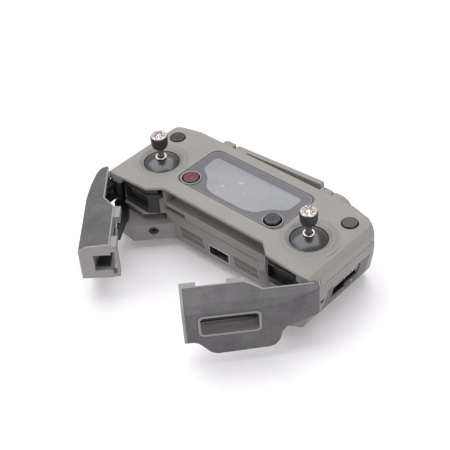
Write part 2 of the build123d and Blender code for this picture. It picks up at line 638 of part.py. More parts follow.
# five-way key: a plunger that slides, a rocker that tilts on it, and the cap that tilts across
FIVE_PIVOT_Z = 36.2
with BuildPart() as five_way_plunger:
    with Locations((FACE_BUTTON[0], FACE_BUTTON[1], 33.7)):
        Cylinder(3.4, 0.9)
    for shift in (-2.7, 2.7):
        with Locations((FACE_BUTTON[0] + shift, FACE_BUTTON[1], 35.4)):
            Box(0.7, 1.8, 3.0)
write(five_way_plunger.part, "five_way_plunger")
with BuildPart() as five_way_rocker:
    with Locations((FACE_BUTTON[0], FACE_BUTTON[1], FIVE_PIVOT_Z)):
        Cylinder(2.2, 0.9)
        Cylinder(1.5, 0.9, mode=Mode.SUBTRACT)
write(five_way_rocker.part, "five_way_rocker")
with BuildPart() as five_way_cap:
    with Locations((FACE_BUTTON[0], FACE_BUTTON[1], 39.4)):
        Cylinder(FACE_BUTTON_R - 0.1, 3.0)
    fillet(five_way_cap.edges().filter_by(GeomType.CIRCLE).sort_by(Axis.Z)[-1], 0.6)
    with Locations((FACE_BUTTON[0], FACE_BUTTON[1], 37.2)):
        Cylinder(1.2, 3.0)
    for quarter in range(4):
        x = FACE_BUTTON[0] + 3.1 * cos(radians(90 * quarter))
        y = FACE_BUTTON[1] + 3.1 * sin(radians(90 * quarter))
        with Locations((x, y, 41.0)):
            Cylinder(0.45, 0.5)
write(five_way_cap.part, "five_way_cap")

with BuildPart() as tact_switches:
    for side in (1, -1):
        # under the home and power keys
        with Locations((side * SIDE_BUTTON[0], SIDE_BUTTON[1], 30.6)):
            Box(6, 6, 2.8)
        with Locations((side * SIDE_BUTTON[0], SIDE_BUTTON[1], 32.3)):
            Cylinder(1.6, 0.6)
        # behind the rear keys
        with Locations((side * REAR_BUTTON[0], 21.4, REAR_BUTTON[1] - 1)):
            Box(5, 3.2, 5)
        with Locations((side * CUSTOM_BUTTON[0], 22.4, CUSTOM_BUTTON[1])):
            Box(5, 3.2, 5)
    # under the pause key and the five-way key
    with Locations((-FACE_BUTTON[0], FACE_BUTTON[1], 31.6)):
        Box(6, 6, 2.8)
    with Locations((-FACE_BUTTON[0], FACE_BUTTON[1], 33.2)):
        Cylinder(1.6, 0.4)
    with Locations((FACE_BUTTON[0], FACE_BUTTON[1], 31.1)):
        Box(7.4, 7.4, 1.8)
write(tact_switches.part, "tact_switches")


# ---- rear keys, dials and mode switch ------------------------------------------------------------
def rear_key(x, z, radius, back, front, flange_y):
    """Key that pushes forward into the rear wall."""
    with BuildPart() as key:
        with BuildSketch(Plane.XZ.offset(-back)):
            with Locations((x, z)):
                Circle(radius)
        extrude(amount=back - front)
        with BuildSketch(Plane.XZ.offset(-flange_y)):
            with Locations((x, z)):
                Circle(radius + 0.6)
        extrude(amount=1.0)
        fillet(key.edges().filter_by(GeomType.CIRCLE).sort_by(Axis.Y)[-1], 0.6)
    return key.part


REAR_KEY_BACK_Y = 35.4
CUSTOM_KEY_BACK_Y = 35.6
write(rear_key(-REAR_BUTTON[0], REAR_BUTTON[1], REAR_BUTTON_R, REAR_KEY_BACK_Y, 24.2, 28.6), "record_button")
write(rear_key(REAR_BUTTON[0], REAR_BUTTON[1], REAR_BUTTON_R, REAR_KEY_BACK_Y, 24.2, 28.6), "shutter_button")
for side, side_name in ((-1, "left"), (1, "right")):
    custom_key = rear_key(
        side * CUSTOM_BUTTON[0], CUSTOM_BUTTON[1], CUSTOM_BUTTON_R, CUSTOM_KEY_BACK_Y, 25.0, 31.6
    )
    write(custom_key, side_name + "_custom_button")

DIAL_TEETH = 36
with BuildPart() as dial:
    with Locations((DIAL_X, DIAL_Y, DIAL_Z)):
        Cylinder(DIAL_R, DIAL_THICK)
    with Locations((DIAL_X, DIAL_Y, DIAL_Z)):
        with PolarLocations(DIAL_R + 0.1, DIAL_TEETH):
            Box(0.7, 0.6, DIAL_THICK + 1, mode=Mode.SUBTRACT)
        Cylinder(PIN_R + RUNNING_GAP, DIAL_THICK + 2, mode=Mode.SUBTRACT)
both_sides(dial.part, "dial")

SWITCH_BACK_X = 65.5
SLIDER_LENGTH = 11.6
SLIDER_TRAVEL = 6.0
with BuildPart() as switch_housing:
    with BuildSketch(Plane.YZ.offset(SWITCH_BACK_X)):
        with Locations((SWITCH_Y, SWITCH_Z)):
            RectangleRounded(SWITCH_SLOT[0] - 0.1, SWITCH_SLOT[1] - 0.1, 2.3)
    extrude(amount=4.8)
    with BuildSketch(Plane.YZ.offset(SWITCH_BACK_X + 1.2)):
        with Locations((SWITCH_Y, SWITCH_Z)):
            RectangleRounded(SWITCH_SLOT[0] - 1.3, SWITCH_SLOT[1] - 1.1, 1.9)
    extrude(amount=10, mode=Mode.SUBTRACT)
write(switch_housing.part, "switch_housing")

SLIDER_Y = SWITCH_Y + (SWITCH_SLOT[0] - 1.3) / 2 - SLIDER_LENGTH / 2 - 0.4
with BuildPart() as mode_switch:
    with BuildSketch(Plane.YZ.offset(SWITCH_BACK_X + 1.5)):
        with Locations((SLIDER_Y, SWITCH_Z)):
            RectangleRounded(SLIDER_LENGTH, SWITCH_SLOT[1] - 1.8, 1.7)
    extrude(amount=5.4)
    fillet(mode_switch.faces().sort_by(Axis.X)[-1].edges(), 0.6)
write(mode_switch.part, "mode_switch")


# ---- phone clamps --------------------------------------------------------------------------------
# Each clamp is drawn with its hinge pin at the origin, +X towards its free end and +Y outward,
# then turned to where it stands open.
outer_edge = [(-4.6, 6.4), (-4.1, 7.8), (-2.4, 9.5), (1.7, 11.2), (9, 13.4), (20, CLAMP_DEPTH)]
inner_edge = [(CLAMP_LENGTH, CLAMP_INNER), (31.3, CLAMP_INNER), (23, 4.5), (-2, 4.5), (-4.6, 4.9)]
side_outline = [
    (-6, 45), (-6, 21.6), (5, 21.3), (12.6, 20.3), (15.2, 17.6), (16.6, 12), (19, 9.2), (22, 8.4),
    (47.6, 7.6), (50.6, 9), (53.4, 12.4), (56.4, 16.0), (59, 16.9), (70, 16.9), (70, 45),
]
EDGE_Z = 35.4
CLAMP_TOP_Z = 38.7
RIM = 0.8
END_CAP = 1.4
WINDOW_LOW = (26.4, 21.6)       # slot in the outer face: start, low
WINDOW_HIGH = (54.8, 32.8)
WINDOW_FRAME = 1.1


def clamp_block(inset, inner, end=CLAMP_LENGTH):
    """Solid form of a clamp, drawn in from its outer and top faces."""
    outer = [(u + 0.8 * inset, w - inset) for u, w in outer_edge]
    with BuildPart() as block:
        with BuildSketch(Plane.XY):
            face(outer + [(end, CLAMP_DEPTH - inset)] + inner)
        extrude(amount=50)
        with BuildSketch(Plane.XZ):
            face(side_outline)
        extrude(amount=40, both=True, mode=Mode.INTERSECT)
        with BuildSketch(Plane.YZ):
            face([
                (-20, 0), (-20, CLAMP_TOP_Z - inset), (CLAMP_INNER + 1, CLAMP_TOP_Z - inset),
                (CLAMP_DEPTH - 4, CLAMP_TOP_Z - 1 - inset), (CLAMP_DEPTH - inset, EDGE_Z - inset),
                (CLAMP_DEPTH - inset, 0),
            ])
        extrude(amount=100, both=True, mode=Mode.INTERSECT)
    return block.part


def clamp_slab(low, high, z_low, z_high):
    """Plain block between two corners given along and across the clamp."""
    with BuildPart() as slab:
        with BuildSketch(Plane.XY.offset(z_low)):
            face([low, (high[0], low[1]), high, (low[0], high[1])])
        extrude(amount=z_high - z_low)
    return slab.part


open_edge = [(CLAMP_LENGTH + 9, -20), (-9, -20)]
clamp_outer = clamp_block(0, inner_edge)
clamp_core = clamp_block(COVER_SKIN, inner_edge)
clamp_core_wide = clamp_block(COVER_SKIN, [(CLAMP_LENGTH, -20), (-9, -20), (-9, 4.3)])
clamp_hollow = clamp_block(COVER_SKIN + LINER, [(24, -20), (-9, -20), (-9, 3)], 24)

with BuildPart() as rim_strip:
    with BuildSketch(Plane.XY.offset(34)):
        face([(-2, 4.5), (23, 4.5), (31.3, CLAMP_INNER), (70, CLAMP_INNER), (70, CLAMP_INNER + RIM),
              (31.6, CLAMP_INNER + RIM), (23.3, 4.5 + RIM), (-2, 4.5 + RIM)])
    extrude(amount=8)

with BuildPart() as window_block:
    with BuildSketch(Plane.XZ.offset(-20)):
        with Locations(((WINDOW_LOW[0] + WINDOW_HIGH[0]) / 2, (WINDOW_LOW[1] + WINDOW_HIGH[1]) / 2)):
            RectangleRounded(
                WINDOW_HIGH[0] - WINDOW_LOW[0] + 2 * WINDOW_FRAME,
                WINDOW_HIGH[1] - WINDOW_LOW[1] + 2 * WINDOW_FRAME,
                3.0,
            )
    extrude(amount=20 - GROOVE_DEPTH)

with BuildPart() as window_hole:
    with BuildSketch(Plane.XZ.offset(-20)):
        with Locations(((WINDOW_LOW[0] + WINDOW_HIGH[0]) / 2, (WINDOW_LOW[1] + WINDOW_HIGH[1]) / 2)):
            RectangleRounded(WINDOW_HIGH[0] - WINDOW_LOW[0], WINDOW_HIGH[1] - WINDOW_LOW[1], 2.0)
    extrude(amount=20 - GROOVE_DEPTH + 1)

rear_rim = clamp_slab((-9, -20), (-3.9, 20), 0, 50)
end_cap = clamp_slab((CLAMP_LENGTH - END_CAP, -20), (70, 20), 0, 50)
frame_ring_limit = clamp_slab((-9, -20), (70, CLAMP_DEPTH + 0.3), 0, 50)

with BuildPart() as clamp_cover:
    add(clamp_outer)
    add(clamp_core_wide, mode=Mode.SUBTRACT)
    add(rim_strip.part, mode=Mode.SUBTRACT)
    add(window_block.part, mode=Mode.SUBTRACT)
    add(end_cap, mode=Mode.SUBTRACT)
    add(rear_rim, mode=Mode.SUBTRACT)

TAB_INNER = -4.9
tabs = [(31, 40), (55, CLAMP_LENGTH)]
with BuildPart() as clamp_frame:
    add(clamp_core)
    add(clamp_outer & rim_strip.part)
    add(clamp_outer & end_cap)
    add(clamp_outer & rear_rim)
    add(window_block.part & frame_ring_limit)
    # hollow rear part, and only a skin below the jaws
    add(clamp_hollow, mode=Mode.SUBTRACT)
    add(clamp_slab((-9, -20), (40.4, 12.4), 0, 18.8), mode=Mode.SUBTRACT)
    add(clamp_slab((40.3, -20), (61.0, 12.4), 0, 16.9), mode=Mode.SUBTRACT)
    add(clamp_slab((-9, -20), (24, 12.2), 0, 20.6), mode=Mode.SUBTRACT)
    # phone groove and the window through its floor
    add(clamp_slab((20, -20), (70, GROOVE_DEPTH), GROOVE[0], GROOVE[1]), mode=Mode.SUBTRACT)
    add(window_hole.part, mode=Mode.SUBTRACT)
    # tabs on the upper jaw
    for start, end in tabs:
        add(clamp_slab((start, TAB_INNER), (end, CLAMP_INNER + 0.5), 34.2, 38.2))
    # rounded flange across the groove mouth at the free end
    with BuildSketch(Plane.XY.offset(17.4)):
        face([
            (58.6, TAB_INNER), (CLAMP_LENGTH, TAB_INNER), (CLAMP_LENGTH, TAB_INNER + 1.2),
            (58.6, TAB_INNER + 1.2),
        ])
    extrude(amount=18)
    add(clamp_slab((58.6, TAB_INNER), (CLAMP_LENGTH, CLAMP_INNER + 0.5), 17.4, 19.4))

with BuildPart() as clamp_pads:
    add(clamp_slab((49.5, 0), (51.7, 6.4), 28.6, GROOVE[1] - 0.02))
    add(clamp_slab((43.2, 0), (45.4, 6.4), 28.6, GROOVE[1] - 0.02))
    add(clamp_slab((27.2, 1), (36.4, 6.4), 28.2, GROOVE[1] - 0.02))
    add(clamp_slab((26, 0), (60, 6.8), GROOVE[0] + 0.02, GROOVE[0] + 1.0))

KNUCKLE_R = 3.4
BLADE_LOW_Z = 17.2
BLADE_HIGH_Z = 18.8
with BuildPart() as hinge_arm:
    with Locations((0, 0, 27.9)):
        Cylinder(KNUCKLE_R, 11.4)
    # upper and lower webs from the knuckle to the liner
    for low in (22.8, 30.0):
        with BuildSketch(Plane.XY.offset(low)):
            face([(-0.8, 2), (0.7, 4.0), (1.7, 6.1), (4.4, 8.1), (9.8, 10.0), (9.8, 5.5), (3.2, 0)])
        extrude(amount=3.2)
    # flat blade that folds into the gap under the stick store
    with BuildSketch(Plane.XY.offset(BLADE_LOW_Z)):
        face([(-2.4, 1.6), (3, 3.2), (10, 2.4), (16, 0.6), (24, 0.4), (33.4, 0.4), (34.6, -2.2), (15, -5.6),
              (4, -4.6), (-2.4, -2.6)])
    extrude(amount=BLADE_HIGH_Z - BLADE_LOW_Z)
    with Locations((0, 0, 20.4)):
        Cylinder(KNUCKLE_R - 0.4, 4.4)
    with Locations((0, 0, 27)):
        Cylinder(PIN_R + RUNNING_GAP, 40, mode=Mode.SUBTRACT)

angle = radians(CLAMP_OPEN)
clamp_plane = Plane(origin=(PIVOT_X, PIVOT_Y, 0), x_dir=(-cos(angle), -sin(angle), 0), z_dir=(0, 0, 1))
clamp_place = clamp_plane.location
both_sides(clamp_cover.part.moved(clamp_place), "clamp_cover")
both_sides(clamp_frame.part.moved(clamp_place), "clamp_frame")
both_sides(clamp_pads.part.moved(clamp_place), "clamp_pads")
both_sides(hinge_arm.part.moved(clamp_place), "hinge_arm")


# ---- antennas ------------------------------------------------------------------------------------
REST_TILT = 3.4         # the left antenna stands a little raised
ANTENNA_FRONT_Y = BACK_Y + 0.7
MOUNT_LOW_Z = 26.02


def antenna(length, root, y_range, z_range):
    """Flat antenna lying along +X from a hinge at the origin; the pin runs along Y."""
    with BuildPart() as bar:
        with BuildSketch(Plane.XZ.offset(-ANTENNA_BACK_Y)):
            Circle(ANTENNA_R)
            with Locations((root / 2, 0)):
                Rectangle(root, 2 * ANTENNA_R)
        extrude(amount=ANTENNA_BACK_Y - ANTENNA_FRONT_Y)
        with BuildSketch(Plane.XZ.offset(-y_range[1])):
            with Locations(((length + root) / 2 - 1, (z_range[0] + z_range[1]) / 2)):
                Rectangle(length - root + 2, z_range[1] - z_range[0])
        extrude(amount=y_range[1] - y_range[0])
        fillet(bar.edges().filter_by(Axis.Y).sort_by(Axis.X)[-2:], 1.2)
        with Locations(Location((0, ANTENNA_BACK_Y, 0), (90, 0, 0))):
            Cylinder(ANTENNA_PIN_R + RUNNING_GAP, 30, mode=Mode.SUBTRACT)
    return bar.part


left_bar = antenna(60.5, 8.0, (40.3, ANTENNA_BACK_Y), (-1.3, ANTENNA_R))
write(left_bar.rotate(Axis.Y, -REST_TILT).moved(Location((-ANTENNA_X, 0, ANTENNA_Z))), "left_antenna")
right_bar = mirror(antenna(55.0, 4.4, (ANTENNA_FRONT_Y, 39.4), (-ANTENNA_R, 0.2)), about=Plane.YZ)
write(right_bar.moved(Location((ANTENNA_X, 0, ANTENNA_Z))), "right_antenna")

MOUNT_X = (ANTENNA_X + ANTENNA_R + 0.25, 46.4)
MOUNT_TOP_Z = ANTENNA_Z + ANTENNA_R
with BuildPart() as antenna_mount:
    with BuildSketch(Plane.XZ.offset(-ANTENNA_BACK_Y)):
        face([(MOUNT_X[0], MOUNT_LOW_Z), (MOUNT_X[0], MOUNT_TOP_Z), (MOUNT_X[1] - 5.2, MOUNT_TOP_Z),
              (MOUNT_X[1] - 2.4, MOUNT_TOP_Z - 1.2), (MOUNT_X[1] - 0.6, MOUNT_TOP_Z - 3.2),
              (MOUNT_X[1], MOUNT_LOW_Z)])
    extrude(amount=ANTENNA_BACK_Y - BACK_Y - 0.02)
    fillet(antenna_mount.edges().filter_by(Axis.Z).sort_by(Axis.Y)[-1:], 0.4)
    # seat under the hinge
    with BuildSketch(Plane.XY.offset(MOUNT_LOW_Z)):
        face([(ANTENNA_X - 1.2, BACK_Y + 0.02), (ANTENNA_X - 1.2, ANTENNA_BACK_Y),
              (MOUNT_X[0] + 0.2, ANTENNA_BACK_Y), (MOUNT_X[0] + 0.2, BACK_Y + 0.02)])
    extrude(amount=4.8)
    with Locations(Location((ANTENNA_X, 40, ANTENNA_Z), (90, 0, 0))):
        Cylinder(ANTENNA_R + 0.25, 40, mode=Mode.SUBTRACT)
both_sides(antenna_mount.part, "antenna_mount")


# ---- pins and screws -----------------------------------------------------------------------------
PIN_LOW_Z = 10.6
PIN_HIGH_Z = EAR_LOW_Z + PIN_SEAT
with BuildPart() as hinge_pins:
    for side in (1, -1):
        # clamp hinge
        with Locations((side * PIVOT_X, PIVOT_Y, (PIN_LOW_Z + PIN_HIGH_Z) / 2)):
            Cylinder(PIN_R, PIN_HIGH_Z - PIN_LOW_Z)
        # antenna hinge, driven in through the rear wall
        with Locations(Location((side * ANTENNA_X, ANTENNA_BACK_Y - 6.2, ANTENNA_Z), (90, 0, 0))):
            Cylinder(ANTENNA_PIN_R, 11)
        # dial axle
        with Locations((side * DIAL_X, DIAL_Y, DIAL_Z)):
            Cylinder(PIN_R, DIAL_AXLE)
write(hinge_pins.part, "hinge_pins")

with BuildPart() as case_screws:
    for side in (1, -1):
        head = Plane((side * block_screw[0], block_screw[1], block_screw[2]), z_dir=(side, 1, 0))
        with Locations(head.offset(1.4)):
            Cylinder(2.3, 1.4)
            Cylinder(0.9, 3.0, mode=Mode.SUBTRACT)
    for x, y in base_screws:
        with Locations((x, y, 1.1)):
            Cylinder(2.1, 0.9)
            Cylinder(0.8, 3.0, mode=Mode.SUBTRACT)
write(case_screws.part, "case_screws")
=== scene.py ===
from math import cos, pi, radians, sin, sqrt

import bmesh
import bpy
from mathutils import Matrix, Vector


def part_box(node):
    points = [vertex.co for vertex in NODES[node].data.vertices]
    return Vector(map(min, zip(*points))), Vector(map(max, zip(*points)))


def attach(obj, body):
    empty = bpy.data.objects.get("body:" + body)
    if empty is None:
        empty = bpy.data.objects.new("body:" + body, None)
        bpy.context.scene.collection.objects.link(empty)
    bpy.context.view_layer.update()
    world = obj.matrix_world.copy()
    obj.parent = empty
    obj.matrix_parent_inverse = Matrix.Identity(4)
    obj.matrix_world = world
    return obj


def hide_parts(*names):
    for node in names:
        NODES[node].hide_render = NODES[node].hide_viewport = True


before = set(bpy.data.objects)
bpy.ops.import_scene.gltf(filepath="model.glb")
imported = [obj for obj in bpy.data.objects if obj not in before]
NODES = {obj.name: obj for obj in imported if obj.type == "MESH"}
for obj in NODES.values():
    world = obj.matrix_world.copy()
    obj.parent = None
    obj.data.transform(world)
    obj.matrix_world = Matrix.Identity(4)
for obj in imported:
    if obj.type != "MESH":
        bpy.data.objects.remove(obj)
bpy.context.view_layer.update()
MM = 0.001

SIDES = (("left", -1), ("right", 1))


# ---- materials -----------------------------------------------------------------------------------
class Graph:
    """Short calls for a material's nodes."""

    def __init__(self, name):
        self.material = bpy.data.materials.new(name)
        self.material.use_nodes = True
        self.tree = self.material.node_tree
        self.tree.nodes.clear()
        self.shader = self.add("ShaderNodeBsdfPrincipled")
        output = self.add("ShaderNodeOutputMaterial")
        self.link(self.shader.outputs[0], output.inputs["Surface"])
        self.place = self.add("ShaderNodeTexCoord").outputs["Object"]

    def add(self, kind, **settings):
        node = self.tree.nodes.new(kind)
        for key, value in settings.items():
            setattr(node, key, value)
        return node

    def link(self, start, end):
        self.tree.links.new(start, end)

    def feed(self, socket, value):
        if isinstance(value, bpy.types.NodeSocket):
            self.link(value, socket)
        else:
            socket.default_value = value

    def noise(self, size, detail=3.0, rough=0.5, stretch=(1, 1, 1)):
        """Noise whose blobs are about size metres across."""
        texture = self.add("ShaderNodeTexNoise")
        texture.inputs["Scale"].default_value = 1 / size
        texture.inputs["Detail"].default_value = detail
        texture.inputs["Roughness"].default_value = rough
        mapping = self.add("ShaderNodeMapping")
        mapping.inputs["Scale"].default_value = stretch
        self.link(self.place, mapping.inputs["Vector"])
        self.link(mapping.outputs[0], texture.inputs["Vector"])
        return texture.outputs["Fac"]

    def spots(self, size):
        """Distance from the nearest of points about size metres apart, as a share of size."""
        texture = self.add("ShaderNodeTexVoronoi")
        texture.inputs["Scale"].default_value = 1 / size
        self.link(self.place, texture.inputs["Vector"])
        return texture.outputs["Distance"]

    def remap(self, value, low, high, out_low=0.0, out_high=1.0):
        node = self.add("ShaderNodeMapRange")
        self.feed(node.inputs["Value"], value)
        for key, number in (("From Min", low), ("From Max", high), ("To Min", out_low), ("To Max", out_high)):
            node.inputs[key].default_value = number
        return node.outputs[0]

    def maths(self, operation, first, second=0.0):
        node = self.add("ShaderNodeMath", operation=operation)
        self.feed(node.inputs[0], first)
        self.feed(node.inputs[1], second)
        return node.outputs[0]

    def mix(self, factor, first, second):
        node = self.add("ShaderNodeMix", data_type="RGBA", blend_type="MIX")
        self.feed(node.inputs["Factor"], factor)
        for socket, value in ((node.inputs[6], first), (node.inputs[7], second)):
            if not isinstance(value, bpy.types.NodeSocket):
                value = (*value, 1.0)
            self.feed(socket, value)
        return node.outputs[2]

    def rounded(self, radius):
        """Normal with its edges rounded to a radius, and how near an edge a point is, 0 to 1."""
        bevel = self.add("ShaderNodeBevel", samples=4)
        bevel.inputs["Radius"].default_value = radius
        geometry = self.add("ShaderNodeNewGeometry")
        dot = self.add("ShaderNodeVectorMath", operation="DOT_PRODUCT")
        self.link(bevel.outputs[0], dot.inputs[0])
        self.link(geometry.outputs["Normal"], dot.inputs[1])
        return bevel.outputs[0], self.remap(dot.outputs["Value"], 0.985, 0.86)

    def bump(self, height, distance, normal):
        node = self.add("ShaderNodeBump")
        node.inputs["Distance"].default_value = distance
        node.inputs["Strength"].default_value = 1.0
        self.link(height, node.inputs["Height"])
        self.link(normal, node.inputs["Normal"])
        return node.outputs[0]


def moulded(name, colour, rough=0.5, grain=0.35 * MM, relief=0.02 * MM, edge=0.3 * MM, wear=0.2, mottle=0.06,
            dust=0.0, scuffs=0.0, specular=0.45, coat=0.0, speckle=0.14, blotch=18 * MM):
    """Moulded or sprayed surface: grain, slow colour change, worn edges, dust specks and scuffs."""
    g = Graph(name)
    normal, near_edge = g.rounded(edge)
    slow = g.noise(blotch, 4.0, 0.6)
    fine = g.noise(grain, 2.0, 0.6)
    dark = [c * (1 - mottle) for c in colour]
    light = [min(c * (1 + mottle), 1) for c in colour]
    base = g.mix(g.remap(slow, 0.3, 0.7), dark, light)
    base = g.mix(g.remap(fine, 0.4, 0.68, 0.0, 0.8), base, [c * (1 - speckle) for c in colour])
    pale = [min(c * 1.55 + 0.05, 0.85) for c in colour]
    if wear:
        patchy = g.remap(g.noise(3 * MM, 4.0, 0.65), 0.35, 0.65)
        base = g.mix(g.maths("MULTIPLY", near_edge, g.maths("MULTIPLY", patchy, wear)), base, pale)
    if scuffs:
        streaks = g.remap(g.noise(2.2 * MM, 5.0, 0.7, (1.0, 0.35, 0.8)), 0.60, 0.74)
        region = g.remap(g.noise(26 * MM, 2.0), 0.48, 0.62)
        base = g.mix(g.maths("MULTIPLY", g.maths("MULTIPLY", streaks, region), scuffs), base, pale)
    if dust:
        specks = g.remap(g.spots(4.5 * MM), 0.075, 0.045)
        chance = g.remap(g.noise(7 * MM, 2.0), 0.52, 0.60)
        base = g.mix(g.maths("MULTIPLY", g.maths("MULTIPLY", specks, chance), dust), base, (0.75, 0.74, 0.72))
    g.link(base, g.shader.inputs["Base Color"])
    g.link(g.remap(g.noise(9 * MM, 4.0), 0.3, 0.7, rough - 0.06, rough + 0.06), g.shader.inputs["Roughness"])
    g.link(g.bump(fine, relief, normal), g.shader.inputs["Normal"])
    g.shader.inputs["Specular IOR Level"].default_value = specular
    g.shader.inputs["Coat Weight"].default_value = coat
    g.shader.inputs["Coat Roughness"].default_value = 0.12
    return g


def metal(name, colour, rough):
    """Turned or milled metal: fine tool lines, edge shine and faint stains."""
    g = Graph(name)
    normal, near_edge = g.rounded(0.2 * MM)
    lines = g.noise(0.12 * MM, 2.0, 0.5, (1.0, 1.0, 3.0))
    stain = g.remap(g.noise(2.5 * MM, 4.0), 0.35, 0.7)
    base = g.mix(stain, colour, [c * 0.78 for c in colour])
    base = g.mix(g.maths("MULTIPLY", near_edge, 0.6), base, [min(c * 1.3, 0.95) for c in colour])
    g.link(base, g.shader.inputs["Base Color"])
    g.link(g.remap(lines, 0.3, 0.7, rough - 0.08, rough + 0.1), g.shader.inputs["Roughness"])
    g.link(g.bump(lines, 0.008 * MM, normal), g.shader.inputs["Normal"])
    g.shader.inputs["Metallic"].default_value = 1.0
    return g


SHELL_RELIEF = 0.018 * MM
RUBBER_GRAIN = 0.42 * MM
warm_shell = moulded("warm_shell", (0.294, 0.282, 0.266), 0.52, speckle=0.24, dust=0.25, wear=0.25,
                     relief=SHELL_RELIEF)
cool_shell = moulded("cool_shell", (0.270, 0.254, 0.252), 0.50, speckle=0.2, dust=0.3, wear=0.3,
                     relief=SHELL_RELIEF)
panel_shell = moulded("panel_shell", (0.235, 0.220, 0.212), 0.50, dust=0.3, wear=0.1, edge=0.1 * MM)
end_face = moulded("end_face", (0.280, 0.268, 0.274), 0.46, dust=0.3, wear=0.4)
clamp_rubber = moulded("clamp_rubber", (0.128, 0.124, 0.128), 0.66, RUBBER_GRAIN, 0.05 * MM, wear=0.12,
                       mottle=0.24, scuffs=0.4, dust=0.35, specular=0.35, edge=1.2 * MM, speckle=0.4,
                       blotch=11 * MM)
grip_rubber = moulded("grip_rubber", (0.165, 0.158, 0.162), 0.62, RUBBER_GRAIN, 0.04 * MM, mottle=0.1,
                      dust=0.4, specular=0.35, speckle=0.3)
black_rubber = moulded("black_rubber", (0.022, 0.022, 0.024), 0.5, 0.3 * MM, 0.03 * MM, wear=0.5, dust=0.5,
                       mottle=0.25)
black_plastic = moulded("black_plastic", (0.014, 0.014, 0.016), 0.42, wear=0.3, dust=0.4, mottle=0.3)
gloss_black = moulded("gloss_black", (0.010, 0.010, 0.011), 0.28, 0.2 * MM, 0.006 * MM, wear=0.25, coat=0.2,
                      mottle=0.3)
dome_black = moulded("dome_black", (0.030, 0.031, 0.035), 0.30, 0.25 * MM, 0.004 * MM, wear=0.1, mottle=0.2,
                     dust=0.2, specular=0.8, coat=0.5)
ring_grey = moulded("ring_grey", (0.30, 0.295, 0.305), 0.3, wear=0.1, edge=0.15 * MM)
bright_metal = metal("bright_metal", (0.70, 0.65, 0.63), 0.34)
steel = metal("steel", (0.55, 0.54, 0.53), 0.3)
dark_steel = metal("dark_steel", (0.27, 0.25, 0.245), 0.42)
board_green = moulded("board_green", (0.02, 0.11, 0.05), 0.4, mottle=0.2)
battery_wrap = moulded("battery_wrap", (0.05, 0.07, 0.13), 0.35, mottle=0.15)

LOOKS = {
    warm_shell: ("top_shell", "left_antenna_mount", "right_antenna_mount", "left_antenna", "right_antenna"),
    cool_shell: ("bottom_shell",),
    panel_shell: ("front_panel",),
    end_face: ("left_clamp_frame", "right_clamp_frame"),
    clamp_rubber: ("left_clamp_cover", "right_clamp_cover"),
    grip_rubber: ("left_grip", "right_grip"),
    black_rubber: ("left_stick_store", "right_stick_store", "left_stick_barrel", "right_stick_barrel",
                   "left_clamp_pads", "right_clamp_pads"),
    black_plastic: ("left_hinge_arm", "right_hinge_arm", "left_gimbal_base", "right_gimbal_base",
                    "left_gimbal_ring", "right_gimbal_ring", "tact_switches", "five_way_plunger",
                    "case_screws", "switch_housing"),
    gloss_black: ("mode_switch", "home_button", "power_button", "pause_button", "five_way_cap",
                  "record_button", "shutter_button", "left_custom_button", "right_custom_button", "left_dial",
                  "right_dial"),
    dome_black: ("left_stick_dome", "right_stick_dome"),
    ring_grey: ("button_rings",),
    bright_metal: ("left_stick_metal", "right_stick_metal"),
    steel: ("hinge_pins", "usb_socket", "charge_socket", "five_way_rocker"),
    dark_steel: ("left_stick_stem", "right_stick_stem"),
    board_green: ("main_board", "radio_board", "button_boards"),
    battery_wrap: ("battery",),
}


def paint(obj, look):
    obj.data.materials.clear()
    obj.data.materials.append(look.material)


for look, names in LOOKS.items():
    for name in names:
        paint(NODES[name], look)

# smoked hard coat of the window and the paler screen
COAT_GRAIN = 0.8 * MM
COAT_RELIEF = 0.002 * MM
window_look = moulded("window", (0.128, 0.120, 0.135), 0.3, COAT_GRAIN, COAT_RELIEF, wear=0.0, mottle=0.03,
                      dust=0.2, specular=0.35)
screen_look = moulded("screen", (0.300, 0.303, 0.320), 0.3, COAT_GRAIN, COAT_RELIEF, wear=0.0, mottle=0.05,
                      dust=0.2, specular=0.3, blotch=9 * MM)
paint(NODES["display_window"], window_look)
paint(NODES["lcd_panel"], screen_look)


# ---- mesh helpers --------------------------------------------------------------------------------
def finish_mesh(name, mesh, look, body, smooth_angle=35, bevel=0.0):
    """Turn a bmesh into a piece that rides on a body."""
    bmesh.ops.remove_doubles(mesh, verts=mesh.verts, dist=1e-7)
    bmesh.ops.recalc_face_normals(mesh, faces=mesh.faces)
    data = bpy.data.meshes.new(name)
    mesh.to_mesh(data)
    mesh.free()
    obj = bpy.data.objects.new(name, data)
    bpy.context.collection.objects.link(obj)
    if bevel:
        modifier = obj.modifiers.new("edges", "BEVEL")
        modifier.width = bevel
        modifier.segments = 2
        modifier.limit_method = "ANGLE"
        modifier.angle_limit = radians(40)
    for face in data.polygons:
        face.use_smooth = True
    bpy.context.view_layer.objects.active = obj
    obj.select_set(True)
    bpy.ops.object.shade_auto_smooth(angle=radians(smooth_angle))
    obj.select_set(False)
    paint(obj, look)
    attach(obj, body)
    return obj


def lathe(mesh, section, segments, place, ripple=None):
    """Turn (radius, height) points round a vertical axis. ripple(angle, height) moves the surface."""
    rings = []
    for r, z in section:
        if r < 1e-9:
            rings.append([mesh.verts.new((place[0], place[1], z))])
            continue
        ring = []
        for k in range(segments):
            a = 2 * pi * k / segments
            radius = r + (ripple(a, z) if ripple else 0.0)
            ring.append(mesh.verts.new((place[0] + radius * cos(a), place[1] + radius * sin(a), z)))
        rings.append(ring)
    for low, high in zip(rings, rings[1:]):
        for k in range(segments):
            n = (k + 1) % segments
            corners = [low[k % len(low)], low[n % len(low)], high[n % len(high)], high[k % len(high)]]
            unique = list(dict.fromkeys(corners))
            if len(unique) > 2:
                mesh.faces.new(unique)


